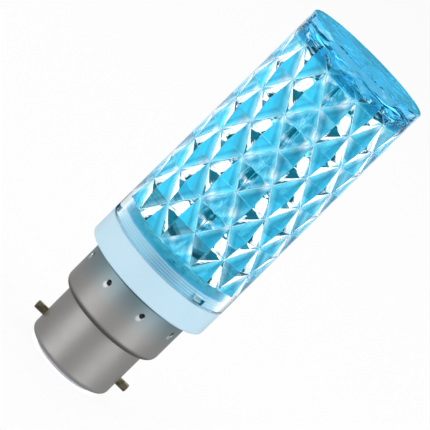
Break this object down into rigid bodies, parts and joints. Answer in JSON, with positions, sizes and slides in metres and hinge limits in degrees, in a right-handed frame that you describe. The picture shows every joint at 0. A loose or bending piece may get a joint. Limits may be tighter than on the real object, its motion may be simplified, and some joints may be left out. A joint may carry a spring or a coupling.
{
  "type": "light bulb",
  "caption": "LED light bulb with a two-pin bayonet cap, a white collar and a long clear cover whose inside wall is cut in diamond facets.",
  "frame": {"origin": "on the lamp's axis, at the contact face of the cap, which is the lowest plane", "axes": "+Z along the lamp from the contacts to the flat top of the cover, +X through the right bayonet pin, +Y through the rear contact plate"},
  "size_m": [0.0326, 0.0326, 0.0942],
  "materials": {
    "cap_metal": "satin nickel plate on drawn sheet",
    "pin_metal": "dull darkened brass",
    "contact_brass": "stamped, satin",
    "insulator_white": "moulded, satin",
    "housing_white": "moulded, semi-gloss white",
    "crystal_clear": "clear moulded acrylic that shows cyan",
    "board_green": "glass-fibre board with green solder mask",
    "chip_black": "moulded epoxy",
    "capacitor_red": "dipped epoxy",
    "can_sleeve": "shrunk sleeve",
    "ferrite": "dark ferrite and heat-shrink",
    "resistor_coat": "painted body",
    "lead_white": "insulated wire",
    "lead_black": "insulated wire",
    "lead_brown": "insulated wire",
    "lead_blue": "insulated wire",
    "led_board_white": "aluminium board with white solder mask",
    "led_package": "white package with a pale yellow cup",
    "screw_steel": "zinc plated"
  },
  "bodies": {
    "root": {"cap_shell": "cap_metal", "bayonet_pin_left": "pin_metal", "bayonet_pin_right": "pin_metal", "cap_insulator": "insulator_white", "contact_plate_front": "contact_brass", "contact_plate_rear": "contact_brass", "contact_lead_front": "lead_brown", "contact_lead_rear": "lead_blue", "housing": "housing_white", "driver_board": "board_green", "bridge_rectifier": "chip_black", "driver_chip": "chip_black", "film_capacitor": "capacitor_red", "smoothing_capacitor": "can_sleeve", "choke": "ferrite", "fusible_resistor": "resistor_coat", "output_lead_plus": "lead_white", "output_lead_minus": "lead_black", "led_board": "led_board_white", "led_board_screws": "screw_steel", "crystal_cover": "crystal_clear", "led_1": "led_package", "led_2": "led_package", "led_3": "led_package", "led_4": "led_package", "led_5": "led_package", "led_6": "led_package", "led_7": "led_package", "led_8": "led_package", "led_9": "led_package", "led_10": "led_package"}
  },
  "joints": []
}
